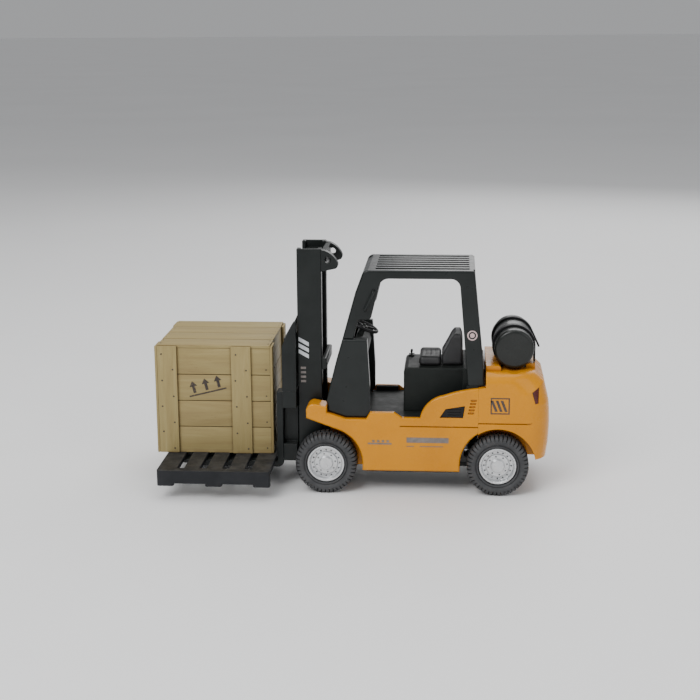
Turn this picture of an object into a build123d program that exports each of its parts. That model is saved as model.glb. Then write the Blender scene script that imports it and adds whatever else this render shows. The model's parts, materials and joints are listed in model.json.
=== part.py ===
"""Toy forklift truck with a raised fork, a slotted pallet and a plank crate.

Millimetres. +X points forward (where the forks point), +Y to the truck's left, +Z up.
The origin is on the ground, under the middle of the whole toy.
"""
from build123d import *
from math import cos, radians, sin
import os

os.makedirs("parts", exist_ok=True)

LEFT, RIGHT = 1, -1
SIDES = ((LEFT, "left"), (RIGHT, "right"))

# ---- overall -------------------------------------------------------------------------------
LENGTH = 191.0
FRONT_X = LENGTH / 2
REAR_X = -LENGTH / 2

# ---- wheels and axles ----------------------------------------------------------------------
WHEELBASE = 82.0
FRONT_AXLE_X = 11.0
REAR_AXLE_X = FRONT_AXLE_X - WHEELBASE
TYRE_R = 14.75
TYRE_WIDTH = 11.5
TYRE_OUTER_Y = 29.5
TYRE_INNER_Y = TYRE_OUTER_Y - TYRE_WIDTH
RIM_R = 9.2
RIM_OUTER_Y = TYRE_OUTER_Y - 0.9
RIM_DEPTH = 9.0
HUB_R = 3.4
HUB_CAP_DEPTH = 3.0
AXLE_R = 1.5
AXLE_GAP = 0.05
AXLE_END_Y = RIM_OUTER_Y - 3.05
AXLE_Z = TYRE_R

# ---- die-cast body -------------------------------------------------------------------------
BODY_HALF = 27.5
PANEL_THICK = 2.5
PANEL_INNER_Y = BODY_HALF - PANEL_THICK
BODY_BOTTOM_Z = 11.2
FRONT_ARCH_R = 17.5
REAR_ARCH_R = 18.0
WELL_INNER_Y = 17.2
FENDER_TIP_X = 20.4
SPLIT_X = -61.5
SPLIT_TOP_Z = 52.4
MAST_BAY_X = 9.6
MAST_BAY_HALF = 17.2
FRONT_DECK_X = -8.2
DECK_THICK = 2.4
EDGE_R = 1.1
GROOVE = 0.55
CREASE_Z = 33.6
STEP_IN = 0.02

# ---- base plate ----------------------------------------------------------------------------
PLATE_Z0, PLATE_Z1 = 10.2, 12.4
BEARING_HALF = 14.7
BEARING_TOP_Z = 19.0
BRACKET_TOP_Z = 31.0
SCREW_RECESS = 1.1
SCREW_SPOTS = ((-2.0, 0.0), (-24.0, 14.0), (-24.0, -14.0), (-56.0, 0.0))

# ---- counterweight -------------------------------------------------------------------------
WEIGHT_TOP_Z = 59.6
WEIGHT_BOTTOM_Z = 17.5
WEIGHT_FRONT_X = -64.9
WEIGHT_EDGE_R = 5.0
WEIGHT_CORNER_R = 12.0
WEIGHT_WALL = 3.2

# ---- gas tank ------------------------------------------------------------------------------
TANK_X, TANK_Z = -78.2, 69.6
TANK_R = 9.4
TANK_HALF = 18.5
TANK_END_R = 1.6
STRAP_THICK = 0.9
STRAP_WIDTH = 3.2
STRAP_Y = 9.0

# ---- cab and overhead guard ----------------------------------------------------------------
CAB_HALF = PANEL_INNER_Y - 0.1
GUARD_OUTER_Y = 24.0
GUARD_THICK = 4.0
GUARD_INNER_Y = GUARD_OUTER_Y - GUARD_THICK
ROOF_TOP_Z = 108.0
ROOF_THICK = 2.6
WINDOW_TOP_Z = 104.0
COWL_TOP_Z = 75.0
COWL_WALL = 2.2
FLOOR_TOP_Z = 37.6
HOOD_TOP_Z = 59.2
HOOD_HALF = 14.6
SEAT_TOP_Z = 64.0

# ---- steering wheel ------------------------------------------------------------------------
STEER_X, STEER_Z = -5.8, 76.4
STEER_R = 7.6
STEER_GRIP_R = 0.8
STEER_TILT = 24.0

# ---- mast ----------------------------------------------------------------------------------
MAST_X0, MAST_X1 = 13.6, 25.3
MAST_OUTER_Y = 15.2
MAST_TOP_Z = 116.5
MAST_BOTTOM_Z = 6.5
WEB = 1.9
FLANGE = 1.8
INNER_GAP = 0.3
INNER_BOTTOM_Z = 10.5
INNER_TOP_Z = 113.2
CYLINDER_X = 18.9
CYLINDER_R = 2.3
ROD_R = 1.4
ROD_GAP = 0.06

# ---- carriage and forks --------------------------------------------------------------------
PLATE_X0, PLATE_X1 = 25.8, 32.6
PLATE_HALF = 19.5
LOWER_BAR_HALF = 17.6
BAR_HEIGHT = 8.5
PLATE_TOP_Z = 48.0
PLATE_BOTTOM_Z = 12.5
BACKREST_TOP_Z = 82.0
FORK_THICK = 3.0
FORK_X0 = PLATE_X1 + 0.05
FORK_TIP_X = 86.0
FORK_Y0, FORK_Y1 = 9.5, 17.5
FORK_BOTTOM_Z = 9.2
FORK_TOP_Z = FORK_BOTTOM_Z + FORK_THICK

# ---- pallet and crate ----------------------------------------------------------------------
PALLET_X0, PALLET_X1 = 36.4, 90.4
PALLET_HALF = 43.0
DECK_BOTTOM_Z = FORK_TOP_Z + 0.2
DECK_TOP_Z = DECK_BOTTOM_Z + 2.2
BAND_BOTTOM_Z = 8.3
PALLET_BOTTOM_Z = 7.0
SLOT_WIDTH = 3.4
CRATE_LENGTH = 57.6
CRATE_X0, CRATE_X1 = FRONT_X - CRATE_LENGTH, FRONT_X
CRATE_Y0, CRATE_Y1 = -PALLET_HALF, 14.5
CRATE_BASE_Z = DECK_TOP_Z + 0.1
CRATE_TOP_Z = 69.0
CRATE_WALL = 1.6
BATTEN_WIDTH = 9.6
BATTEN_THICK = 1.2
REAR_BATTEN_INSET = 9.3
CRATE_PLANKS = 4


def save(part, name):
    """Label one finished piece and write its file."""
    part.label = name
    export_step(part, f"parts/{name}.step")


def slab_plane(side, inner, outer):
    """XZ sketch plane whose positive extrusion fills the slab from inner to outer |Y| on one side."""
    return Plane.XZ.offset(-outer if side == LEFT else inner)


def span(low, high):
    """Middle of a span."""
    return (low + high) / 2


def box_at(x, y, z, mode=Mode.ADD):
    """Box given by its three (low, high) spans, inside the running BuildPart."""
    with Locations((span(*x), span(*y), span(*z))):
        Box(x[1] - x[0], y[1] - y[0], z[1] - z[0], mode=mode)


# ============================================================================================
# Die-cast body
# ============================================================================================
def cut_wells(front):
    """Cut both wheel wells of one axle out of the running BuildPart."""
    axle_x = FRONT_AXLE_X if front else REAR_AXLE_X
    radius = FRONT_ARCH_R if front else REAR_ARCH_R
    depth = BODY_HALF - WELL_INNER_Y + 1
    for side, _ in SIDES:
        with BuildSketch(slab_plane(side, WELL_INNER_Y, BODY_HALF + 1)) as well:
            with Locations((axle_x, AXLE_Z)):
                Circle(radius)
            with Locations((axle_x, AXLE_Z - radius)):
                Rectangle(2 * radius, 2 * radius)
            if front:
                lean = radians(112.7)
                foot = (axle_x + radius * cos(lean), AXLE_Z + radius * sin(lean))
                with BuildLine():
                    Polyline(foot, (FENDER_TIP_X, 36.8), (FENDER_TIP_X + 3, 36.8),
                             (FENDER_TIP_X + 3, 0), (foot[0], 0), close=True)
                make_face()
        extrude(well.sketch, amount=depth, mode=Mode.SUBTRACT)


def intake_outline():
    """Trapezoid outline of the side air intake."""
    with BuildLine() as edge:
        Polyline((-43.2, 38.1), (-46.0, 42.4), (-55.2, 44.0), (-54.3, 38.1), close=True)
    make_face(edge.edges())


def side_cuts(outline, depth):
    """Cut one outline into both side faces of the body to a given depth."""
    for side, _ in SIDES:
        with BuildSketch(slab_plane(side, BODY_HALF - depth, BODY_HALF + 1)) as cut:
            outline()
        extrude(cut.sketch, amount=depth + 1, mode=Mode.SUBTRACT)


def body_grooves():
    """Horizontal crease and the row of five vent slots ahead of the counterweight."""
    with Locations((span(-24.4, SPLIT_X), CREASE_Z)):
        Rectangle(-24.4 - SPLIT_X, GROOVE)
    for i in range(5):
        with Locations((-58.65 - 0.31 * (i - 2), 43.6 + 1.55 * (i - 2))):
            SlotOverall(2.9, 0.95)


with BuildPart() as body_shell:
    with BuildSketch(Plane.XZ):
        with BuildLine():
            Polyline((SPLIT_X, SPLIT_TOP_Z), (SPLIT_X, BODY_BOTTOM_Z), (FENDER_TIP_X, BODY_BOTTOM_Z),
                     (FENDER_TIP_X, 39.4))
            ThreePointArc((FENDER_TIP_X, 39.4), (19.7, 42.5), (17.2, 43.9))
            Polyline((17.2, 43.9), (10.4, 42.6), (10.4, 39.6), (1.5, 36.7), (-8.2, 36.7), (-10.2, 40.2),
                     (-21.7, 40.2), (-25.4, 37.7), (-33.9, 37.7))
            ThreePointArc((-33.9, 37.7), (-38.0, 45.2), (-45.2, 48.8))
            ThreePointArc((-45.2, 48.8), (-53.0, 51.1), (SPLIT_X, SPLIT_TOP_Z))
        make_face()
    extrude(amount=BODY_HALF, both=True)
    cut_wells(front=True)
    cut_wells(front=False)
    fillet(body_shell.edges().filter_by_position(Axis.Y, BODY_HALF - 0.01, BODY_HALF + 0.01)
           .filter_by(lambda e: e.center().X > SPLIT_X + 0.1), EDGE_R)
    fillet(body_shell.edges().filter_by_position(Axis.Y, -BODY_HALF - 0.01, -BODY_HALF + 0.01)
           .filter_by(lambda e: e.center().X > SPLIT_X + 0.1), EDGE_R)
    # open middle: cab bay through the top, front bay under its deck, mast bay between the fenders
    box_at((SPLIT_X - 1, FRONT_DECK_X), (-PANEL_INNER_Y, PANEL_INNER_Y), (0, 60), Mode.SUBTRACT)
    box_at((FRONT_DECK_X - 1, MAST_BAY_X - DECK_THICK),
           (-WELL_INNER_Y + DECK_THICK, WELL_INNER_Y - DECK_THICK), (0, 36.7 - DECK_THICK), Mode.SUBTRACT)
    box_at((MAST_BAY_X, 30), (-MAST_BAY_HALF, MAST_BAY_HALF), (0, 60), Mode.SUBTRACT)
    box_at((0, MAST_BAY_X + 1), (-BEARING_HALF - 0.1, BEARING_HALF + 0.1), (0, BRACKET_TOP_Z + 0.1),
           Mode.SUBTRACT)
    with Locations(Location((FRONT_AXLE_X, 0, AXLE_Z), (90, 0, 0))):
        Cylinder(AXLE_R + 0.8, 2 * BODY_HALF, mode=Mode.SUBTRACT)
    box_at((SPLIT_X, SPLIT_X + 6), (-PANEL_INNER_Y - 0.5, PANEL_INNER_Y + 0.5), (33.2, 35.6))
    side_cuts(body_grooves, GROOVE)
    side_cuts(intake_outline, 1.5)
save(body_shell.part, "body_shell")

for side, side_name in SIDES:
    with BuildPart() as intake:
        with BuildSketch(slab_plane(side, BODY_HALF - 1.45, BODY_HALF - 0.5)):
            intake_outline()
            offset(amount=-0.06, kind=Kind.INTERSECTION, mode=Mode.REPLACE)
        extrude(amount=0.95)
        with BuildSketch(slab_plane(side, BODY_HALF - 0.9, BODY_HALF)):
            for i in range(3):
                with Locations((-50.2, 39.4 + 1.35 * i)):
                    Rectangle(6.4, 0.55)
        extrude(amount=0.9, mode=Mode.SUBTRACT)
    save(intake.part, f"intake_grille_{side_name}")


# ============================================================================================
# Counterweight, tail lights
# ============================================================================================
def light_outline():
    """Wedge outline of the tail light at the rear corner."""
    with BuildLine() as edge:
        Polyline((-86.6, 50.6), (-89.9, 52.7), (-89.7, 45.2), (-88.2, 45.0), close=True)
    make_face(edge.edges())


with BuildPart() as weight_block:
    with BuildSketch(Plane.XZ):
        with BuildLine():
            Polyline((SPLIT_X - STEP_IN, WEIGHT_BOTTOM_Z), (SPLIT_X - STEP_IN, SPLIT_TOP_Z),
                     (WEIGHT_FRONT_X, SPLIT_TOP_Z + 0.5), (WEIGHT_FRONT_X, WEIGHT_TOP_Z),
                     (REAR_X + 8.0, WEIGHT_TOP_Z), (REAR_X + 2.8, 54.6), (REAR_X + 0.5, 45.0))
            ThreePointArc((REAR_X + 0.5, 45.0), (REAR_X, 35.0), (REAR_X + 0.5, 24.0))
            Polyline((REAR_X + 0.5, 24.0), (REAR_X + 1.4, WEIGHT_BOTTOM_Z),
                     (SPLIT_X - STEP_IN, WEIGHT_BOTTOM_Z))
        make_face()
    extrude(amount=BODY_HALF, both=True)
    rear_uprights = weight_block.edges().filter_by(
        lambda e: e.center().X < -89.5 and abs(e.center().Y) > BODY_HALF - 0.1)
    fillet(rear_uprights, WEIGHT_CORNER_R)
    top_edges = weight_block.edges().filter_by(
        lambda e: e.center().Z > WEIGHT_TOP_Z - 0.1 and e.center().X < WEIGHT_FRONT_X - 0.5)
    fillet(top_edges, WEIGHT_EDGE_R)

with BuildPart() as counterweight:
    add(weight_block.part)
    # low saddle the tank lies in: a bar ahead of it and a shorter lip behind it
    box_at((-72.0, WEIGHT_FRONT_X), (-20.5, 20.5), (56.0, 62.0))
    box_at((-88.4, -84.0), (-13.0, 13.0), (54.0, 61.6))
    with BuildSketch(Plane.XZ):
        with Locations((TANK_X, TANK_Z)):
            Circle(TANK_R + STRAP_THICK + 0.15)
    extrude(amount=40, both=True, mode=Mode.SUBTRACT)
    cut_wells(front=False)
    box_at((SPLIT_X - 27.5, SPLIT_X - 3.5), (-WELL_INNER_Y + 2.4, WELL_INNER_Y - 2.4), (10, 36),
           Mode.SUBTRACT)
    box_at((-88.0, SPLIT_X - WEIGHT_WALL), (-18.0, 18.0), (35.5, 53.5), Mode.SUBTRACT)
    for side, _ in SIDES:
        with BuildSketch(slab_plane(side, BODY_HALF - 9, BODY_HALF + 1)):
            light_outline()
        extrude(amount=10, mode=Mode.SUBTRACT)
        with BuildSketch(slab_plane(side, BODY_HALF - GROOVE, BODY_HALF + 1)):
            with Locations((span(SPLIT_X, -86.0), CREASE_Z + 1.9)):
                Rectangle(SPLIT_X + 86.0, GROOVE)
            with BuildLine():
                Polyline((-86.0, 35.2), (-94.0, 39.2), (-94.0, 39.8), (-86.0, 35.8), close=True)
            make_face()
        extrude(amount=GROOVE + 1, mode=Mode.SUBTRACT)
save(counterweight.part, "counterweight")

for side, side_name in SIDES:
    with BuildPart() as tail_light:
        add(weight_block.part)
        with BuildSketch(slab_plane(side, BODY_HALF - 9, BODY_HALF + 1)):
            light_outline()
            offset(amount=-0.05, kind=Kind.INTERSECTION, mode=Mode.REPLACE)
        extrude(amount=10, mode=Mode.INTERSECT)
    save(tail_light.part, f"tail_light_{side_name}")

# ============================================================================================
# Gas tank and its straps
# ============================================================================================
with BuildPart() as gas_tank:
    with BuildSketch(Plane.YZ.offset(TANK_X)):
        with BuildLine():
            Polyline((-TANK_HALF, TANK_Z), (-TANK_HALF, TANK_Z + TANK_R), (TANK_HALF, TANK_Z + TANK_R),
                     (TANK_HALF, TANK_Z), close=True)
        make_face()
    revolve(axis=Axis((TANK_X, 0, TANK_Z), (0, 1, 0)))
    fillet(gas_tank.edges().filter_by(GeomType.CIRCLE), TANK_END_R)
save(gas_tank.part, "gas_tank")

STRAP_R = TANK_R + 0.05
for side, side_name, tail_turn, tail_length in ((LEFT, "left", 0, 7.6), (RIGHT, "right", -25, 9.6)):
    with BuildPart() as strap:
        with BuildSketch(slab_plane(side, STRAP_Y - STRAP_WIDTH / 2, STRAP_Y + STRAP_WIDTH / 2)):
            with Locations((TANK_X, TANK_Z)):
                Circle(STRAP_R + STRAP_THICK)
                Circle(STRAP_R, mode=Mode.SUBTRACT)
            # straight tail that leaves the ring at the rear
            with Locations(Location((TANK_X, TANK_Z), tail_turn)):
                with Locations((-STRAP_R - STRAP_THICK / 2, -tail_length / 2)):
                    Rectangle(STRAP_THICK, tail_length)
        extrude(amount=STRAP_WIDTH)
    save(strap.part, f"tank_strap_{side_name}")

# ============================================================================================
# Base plate and its screws
# ============================================================================================
with BuildPart() as base_plate:
    box_at((-52.8, FRONT_DECK_X - 0.1), (-PANEL_INNER_Y + 0.1, PANEL_INNER_Y - 0.1), (PLATE_Z0, PLATE_Z1))
    box_at((REAR_AXLE_X - 6, MAST_X0), (-BEARING_HALF, BEARING_HALF), (PLATE_Z0, PLATE_Z1))
    for axle_x, reach in ((FRONT_AXLE_X, MAST_X0 - FRONT_AXLE_X), (REAR_AXLE_X, 3.6)):
        box_at((axle_x - 3.6, axle_x + reach), (-BEARING_HALF, BEARING_HALF), (PLATE_Z0, BEARING_TOP_Z))
    box_at((MAST_X0 - 3.9, MAST_X0), (-BEARING_HALF, BEARING_HALF), (BEARING_TOP_Z - 1, BRACKET_TOP_Z))
    with Locations(*[Location((x, 0, AXLE_Z), (90, 0, 0)) for x in (FRONT_AXLE_X, REAR_AXLE_X)]):
        Cylinder(AXLE_R + AXLE_GAP, 2 * BODY_HALF, mode=Mode.SUBTRACT)
    with Locations(*[(x, y, PLATE_Z0) for x, y in SCREW_SPOTS]):
        Cylinder(1.05, 10, mode=Mode.SUBTRACT)
        Cylinder(2.15, 2 * SCREW_RECESS, mode=Mode.SUBTRACT)
save(base_plate.part, "base_plate")

with BuildPart() as base_screws:
    for x, y in SCREW_SPOTS:
        with Locations((x, y, PLATE_Z0 + span(0.1, SCREW_RECESS))):
            Cylinder(2.1, SCREW_RECESS - 0.1)
        with Locations((x, y, span(PLATE_Z0 + 0.5, PLATE_Z1 + 1.6))):
            Cylinder(1.0, PLATE_Z1 + 1.1 - PLATE_Z0)
        with Locations((x, y, PLATE_Z0 + 0.1)):
            Box(2.6, 0.5, 0.8, mode=Mode.SUBTRACT)
            Box(0.5, 2.6, 0.8, mode=Mode.SUBTRACT)
save(base_screws.part, "base_screws")


# ============================================================================================
# Wheels
# ============================================================================================
def tyre(axle_x, side, name):
    """Chunky tyre: rounded shoulders, a stepped side wall and blocks cut across the tread."""
    shoulder = 1.6
    outer, inner = side * TYRE_OUTER_Y, side * TYRE_INNER_Y
    dip = side * (TYRE_OUTER_Y - 0.5)
    with BuildPart() as part:
        with BuildSketch(Plane.YZ.offset(axle_x)):
            with BuildLine():
                Polyline((inner, AXLE_Z + RIM_R), (dip, AXLE_Z + RIM_R), (dip, AXLE_Z + RIM_R + 0.9),
                         (outer, AXLE_Z + RIM_R + 1.5), (outer, AXLE_Z + TYRE_R - shoulder),
                         (outer - side * shoulder, AXLE_Z + TYRE_R),
                         (inner + side * shoulder, AXLE_Z + TYRE_R),
                         (inner, AXLE_Z + TYRE_R - shoulder), close=True)
            make_face()
        revolve(axis=Axis((axle_x, 0, AXLE_Z), (0, 1, 0)))
        hub_plane = Plane((axle_x, side * span(TYRE_OUTER_Y, TYRE_INNER_Y), AXLE_Z), x_dir=(1, 0, 0),
                          z_dir=(0, 1, 0))
        for row, turn in ((1, 0.0), (-1, 360 / 48)):
            with Locations(hub_plane.offset(row * 3.4)):
                with PolarLocations(TYRE_R, 24, start_angle=turn):
                    Box(1.8, 1.1, 4.8, mode=Mode.SUBTRACT)
    save(part.part, name)


def rim(axle_x, side, name):
    """Dished wheel rim with a raised lip, a ring of dimples, an inner ring and a hub boss."""
    y = [side * (RIM_OUTER_Y - d) for d in (0.0, 0.5, 1.8, 2.2, 1.5, 0.3, RIM_DEPTH)]
    z = AXLE_Z
    with BuildPart() as part:
        with BuildSketch(Plane.YZ.offset(axle_x)):
            with BuildLine():
                Polyline((y[6], z + AXLE_R), (y[6], z + RIM_R - 0.03), (y[1], z + RIM_R - 0.03),
                         (y[0], z + RIM_R - 0.5), (y[0], z + RIM_R - 1.1), (y[1], z + RIM_R - 1.5),
                         (y[2], z + RIM_R - 1.9), (y[3], z + RIM_R - 3.4), (y[4], z + RIM_R - 3.9),
                         (y[4], z + HUB_R), (y[5], z + HUB_R - 0.5), (y[5], z + AXLE_R), close=True)
            make_face()
        revolve(axis=Axis((axle_x, 0, z), (0, 1, 0)))
        face_plane = Plane((axle_x, side * (RIM_OUTER_Y - 2.0), z), x_dir=(1, 0, 0), z_dir=(0, side, 0))
        with Locations(face_plane):
            with PolarLocations(RIM_R - 2.7, 16):
                Cylinder(0.42, 1.4, mode=Mode.SUBTRACT)
        with Locations(face_plane.offset(0.5)):
            with PolarLocations(RIM_R - 4.7, 8, start_angle=11):
                Cylinder(0.4, 1.2, mode=Mode.SUBTRACT)
        with Locations(face_plane.offset(2.0 - HUB_CAP_DEPTH)):
            Cylinder(AXLE_R + 0.3, HUB_CAP_DEPTH - 0.3, align=(Align.CENTER, Align.CENTER, Align.MIN))
    save(part.part, name)


for axle_x, axle_name in ((FRONT_AXLE_X, "front"), (REAR_AXLE_X, "rear")):
    with BuildPart() as axle:
        with BuildSketch(Plane.XZ):
            with Locations((axle_x, AXLE_Z)):
                Circle(AXLE_R - 0.02)
        extrude(amount=AXLE_END_Y, both=True)
    save(axle.part, f"{axle_name}_axle")
    for side, side_name in SIDES:
        tyre(axle_x, side, f"{axle_name}_tyre_{side_name}")
        rim(axle_x, side, f"{axle_name}_rim_{side_name}")

# ============================================================================================
# Cab: tub, hood, seat, levers
# ============================================================================================
with BuildPart() as cab_tub:
    box_at((SPLIT_X + 0.1, FRONT_DECK_X - 0.4), (-CAB_HALF, CAB_HALF), (FLOOR_TOP_Z - 1.6, FLOOR_TOP_Z))
    box_at((FRONT_DECK_X - 0.5, 1.5), (-GUARD_INNER_Y - 0.4, GUARD_INNER_Y + 0.4), (36.8, FLOOR_TOP_Z))
    for side, _ in SIDES:
        # low kick edge beside the foot well, then the inner fender that carries the guard's rear foot
        box_at((-21.5, -10.4), sorted((side * (CAB_HALF - 1.6), side * CAB_HALF)), (FLOOR_TOP_Z - 0.1, 40.0))
        with BuildSketch(slab_plane(side, GUARD_INNER_Y, CAB_HALF)):
            with BuildLine():
                Polyline((-35.0, FLOOR_TOP_Z - 0.1), (-38.8, 44.4), (-45.6, 47.9), (-53.4, 50.3),
                         (-55.8, 50.8), (-55.8, 53.0), (SPLIT_X + 0.1, 53.0),
                         (SPLIT_X + 0.1, FLOOR_TOP_Z - 0.1), close=True)
            make_face()
        extrude(amount=CAB_HALF - GUARD_INNER_Y)
save(cab_tub.part, "cab_tub")

with BuildPart() as engine_hood:
    hood_z0 = FLOOR_TOP_Z + 0.1
    box_at((-54.6, -25.7), (-HOOD_HALF, HOOD_HALF), (hood_z0, HOOD_TOP_Z))
    front_edge = engine_hood.edges().filter_by(Axis.Y).filter_by(
        lambda e: e.center().Z > HOOD_TOP_Z - 0.1 and e.center().X > -54)
    fillet(front_edge, 2.4)
    fillet(engine_hood.edges().filter_by(
        lambda e: e.center().Z > HOOD_TOP_Z - 0.1 and abs(e.center().Y) > HOOD_HALF - 0.1), 0.8)
    for x0, z0, z1 in ((SPLIT_X + 0.1, hood_z0, 53.2), (-64.3, 53.1, 60.4)):
        box_at((x0, -54.0), (-GUARD_INNER_Y + 0.1, GUARD_INNER_Y - 0.1), (z0, z1))
    box_at((-59.0, -28.0), (-HOOD_HALF + 2.2, HOOD_HALF - 2.2), (hood_z0 - 1, 53.0), Mode.SUBTRACT)
save(engine_hood.part, "engine_hood")

with BuildPart() as seat_cushion:
    box_at((-43.5, -33.0), (-10.8, 10.8), (HOOD_TOP_Z, SEAT_TOP_Z))
    fillet(seat_cushion.edges().filter_by(lambda e: e.center().Z > HOOD_TOP_Z + 0.5), 1.4)
save(seat_cushion.part, "seat_cushion")

with BuildPart() as seat_back:
    with BuildSketch(Plane.XZ):
        with BuildLine():
            Polyline((-43.6, HOOD_TOP_Z), (-43.6, SEAT_TOP_Z - 0.2), (-46.8, 69.7), (-47.9, 71.8))
            ThreePointArc((-47.9, 71.8), (-51.2, 74.5), (-53.3, 72.4))
            Polyline((-53.3, 72.4), (-54.0, 67.0), (-54.0, 60.5), (-54.0, HOOD_TOP_Z), (-43.6, HOOD_TOP_Z))
        make_face()
    extrude(amount=9.8, both=True)
    fillet(seat_back.edges().filter_by(lambda e: abs(e.center().Y) > 9.7 and e.center().Z > 61), 1.2)
save(seat_back.part, "seat_back")

LEVER_X = -28.7
LEVER_KNOB_Z = 61.5
with BuildPart() as control_levers:
    box_at((LEVER_X - 1.4, LEVER_X + 1.4), (-13.8, -8.8), (HOOD_TOP_Z, HOOD_TOP_Z + 0.6))
    for i in range(3):
        with Locations((LEVER_X, -12.8 + 1.5 * i, span(HOOD_TOP_Z + 0.3, LEVER_KNOB_Z))):
            Cylinder(0.42, LEVER_KNOB_Z - HOOD_TOP_Z - 0.3)
        with Locations((LEVER_X, -12.8 + 1.5 * i, LEVER_KNOB_Z)):
            Sphere(0.62)
save(control_levers.part, "control_levers")


# ============================================================================================
# Overhead guard, cowl, dashboard, steering
# ============================================================================================
FRONT_EDGE = ((3.0, COWL_TOP_Z), (-0.1, 86.3), (-3.2, 97.4))

GUARD_ROUNDS = (((-7.1, ROOF_TOP_Z), 3.0), ((-58.9, ROOF_TOP_Z), 1.2), ((-52.0, WINDOW_TOP_Z), 4.4),
                ((-15.2, WINDOW_TOP_Z), 4.8), ((-4.6, 84.2), 1.5))

for side, side_name in SIDES:
    with BuildPart() as frame:
        with BuildSketch(slab_plane(side, GUARD_INNER_Y, GUARD_OUTER_Y)) as outline:
            with BuildLine():
                Polyline(*FRONT_EDGE, (-7.1, ROOF_TOP_Z), (-58.9, ROOF_TOP_Z), (-64.5, 53.02), (-56.4, 53.02),
                         (-52.0, WINDOW_TOP_Z), (-15.2, WINDOW_TOP_Z), (-10.7, 85.6), (-9.8, 84.2),
                         (-4.6, 84.2), (-2.2, COWL_TOP_Z), close=True)
            make_face()
            for spot, radius in GUARD_ROUNDS:
                fillet(outline.vertices().sort_by_distance(spot)[0], radius)
        extrude(amount=GUARD_THICK)
        outer_loop = frame.edges().filter_by(lambda e: abs(e.center().Y) > GUARD_OUTER_Y - 0.05
                                             and 54.0 < e.center().Z)
        fillet(outer_loop, 0.9)
    save(frame.part, f"guard_frame_{side_name}")

ROOF_HALF = GUARD_INNER_Y - 0.02
with BuildPart() as roof_panel:
    box_at((-59.2, -9.0), (-ROOF_HALF, ROOF_HALF), (ROOF_TOP_Z - ROOF_THICK, ROOF_TOP_Z - 0.8))
    for i in range(6):
        rib_y = -15.0 + 6.0 * i
        box_at((-57.0, -12.0), (rib_y - 1.5, rib_y + 1.5), (ROOF_TOP_Z - 0.9, ROOF_TOP_Z))
    box_at((-59.2, -56.6), (-ROOF_HALF, ROOF_HALF), (ROOF_TOP_Z - 4.0, ROOF_TOP_Z))
    with BuildSketch(Plane.XZ):
        with BuildLine():
            Polyline((-9.2, ROOF_TOP_Z), (-6.7, 106.4), (-5.6, 103.2), (-9.0, 103.2), (-12.4, 105.0),
                     (-12.4, ROOF_TOP_Z), close=True)
        make_face()
    extrude(amount=ROOF_HALF, both=True)
save(roof_panel.part, "roof_panel")

with BuildPart() as front_cowl:
    with BuildSketch(Plane.XZ):
        with BuildLine():
            Polyline((10.3, 39.7), (10.3, 42.8), (10.9, 44.4), (8.4, 55.0), (5.9, 64.9),
                     (3.0, COWL_TOP_Z), (-8.7, COWL_TOP_Z),
                     (-10.0, 52.0), (-10.0, 40.4), (-7.9, 36.8), (1.5, 36.8), close=True)
        make_face()
    extrude(amount=GUARD_OUTER_Y + 0.6, both=True)
    fillet(front_cowl.edges().filter_by(
        lambda e: abs(e.center().Y) > GUARD_OUTER_Y + 0.5 and e.center().X > -8), 1.0)
    with BuildSketch(Plane.XZ):
        with BuildLine():
            Polyline((8.9 - COWL_WALL, 30.0), (8.7 - COWL_WALL, 44.0), (6.0 - COWL_WALL, 55.0),
                     (3.4 - COWL_WALL, 64.9), (0.4 - COWL_WALL, COWL_TOP_Z + 2), (-12.0, COWL_TOP_Z + 2),
                     (-12.0, 30.0), close=True)
        make_face()
    extrude(amount=GUARD_INNER_Y + 0.6, both=True, mode=Mode.SUBTRACT)
save(front_cowl.part, "front_cowl")

with BuildPart() as dashboard:
    with BuildSketch(Plane.XZ):
        with BuildLine():
            Polyline((-2.3, 73.2), (0.4, 65.2), (0.4, 60.0), (-6.8, 60.0), (-8.2, 66.0), (-7.2, 69.6),
                     close=True)
        make_face()
    extrude(amount=GUARD_INNER_Y + 0.5, both=True)
save(dashboard.part, "dashboard")

# the steering axis leans back towards the driver
STEER_PLANE = Plane((STEER_X, 0, STEER_Z), x_dir=(cos(radians(STEER_TILT)), 0, sin(radians(STEER_TILT))),
                    z_dir=(-sin(radians(STEER_TILT)), 0, cos(radians(STEER_TILT))))
HUB_DROP = 1.7

with BuildPart() as steering_column:
    with Locations(STEER_PLANE.offset(-HUB_DROP - 3.2)):
        Cylinder(1.5, 6.4)
        with Locations((0, 0, 3.2 + 1.4)):
            Cylinder(0.7, 2.8)
    add(dashboard.part, mode=Mode.SUBTRACT)
save(steering_column.part, "steering_column")

with BuildPart() as steering_wheel:
    with Locations(STEER_PLANE):
        Torus(STEER_R - STEER_GRIP_R, STEER_GRIP_R)
        with Locations((0, 0, -HUB_DROP / 2 + 0.3)):
            Cylinder(1.9, HUB_DROP + 0.2)
        with PolarLocations((STEER_R - STEER_GRIP_R) / 2, 3, start_angle=90):
            Box(STEER_R - STEER_GRIP_R, 1.0, 0.8)
        with Locations((STEER_R - 1.2, 0, 1.2)):
            Cylinder(0.9, 2.2)
        with Locations((0, 0, -HUB_DROP + 1.2)):
            Cylinder(0.76, 2.6, mode=Mode.SUBTRACT)
save(steering_wheel.part, "steering_wheel")

with BuildPart() as grab_handle:
    with BuildLine():
        FilletPolyline((-11.9, GUARD_OUTER_Y, 98.2), (-11.9, GUARD_OUTER_Y + 1.9, 98.2),
                       (-7.7, GUARD_OUTER_Y + 1.9, 89.3), (-7.7, GUARD_OUTER_Y, 89.3), radius=0.9)
    with BuildSketch(Plane((-11.9, GUARD_OUTER_Y, 98.2), z_dir=(0, 1, 0))):
        Circle(0.7)
    sweep()
save(grab_handle.part, "grab_handle")


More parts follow.
